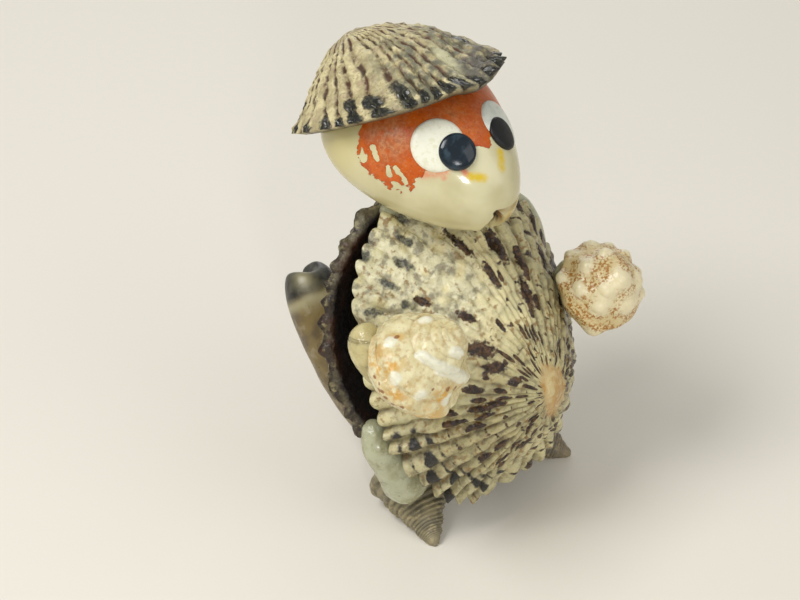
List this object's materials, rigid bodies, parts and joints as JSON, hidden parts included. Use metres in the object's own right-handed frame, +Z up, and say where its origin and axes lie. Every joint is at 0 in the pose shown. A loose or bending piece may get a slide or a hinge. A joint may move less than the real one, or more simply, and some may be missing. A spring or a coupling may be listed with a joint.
{
  "type": "seashell squirrel figurine",
  "caption": "Small souvenir animal of whole sea shells glued together: limpet body and hat, cowrie head, knobbed paws, pointed feet, olive shell tail.",
  "frame": {"origin": "middle of the bounding box's footprint, on the table", "axes": "+Z up, the face looks along -Y, the right paw is on -X"},
  "size_m": [0.039, 0.0396, 0.0593],
  "materials": {
    "chest": "satin, ribbed",
    "back": "matt, ribbed",
    "hat": "matt, ribbed",
    "cowrie": "gloss",
    "eye_white": "satin",
    "pupil_black": "gloss",
    "paw": "satin, knobbed",
    "foot": "matt, corded",
    "tail": "gloss",
    "glue": "milky gloss"
  },
  "bodies": {
    "root": {"chest_shell": "chest", "back_shell": "back", "seam_glue": "glue", "head_shell": "cowrie", "neck_glue": "glue", "hat_shell": "hat", "hat_glue": "glue", "right_eye_white": "eye_white", "right_pupil": "pupil_black", "left_eye_white": "eye_white", "left_pupil": "pupil_black", "right_paw_shell": "paw", "right_paw_glue": "glue", "left_paw_shell": "paw", "left_paw_glue": "glue", "right_foot_shell": "foot", "right_foot_glue": "glue", "left_foot_shell": "foot", "left_foot_glue": "glue", "tail_shell": "tail", "tail_glue": "glue"}
  },
  "joints": []
}
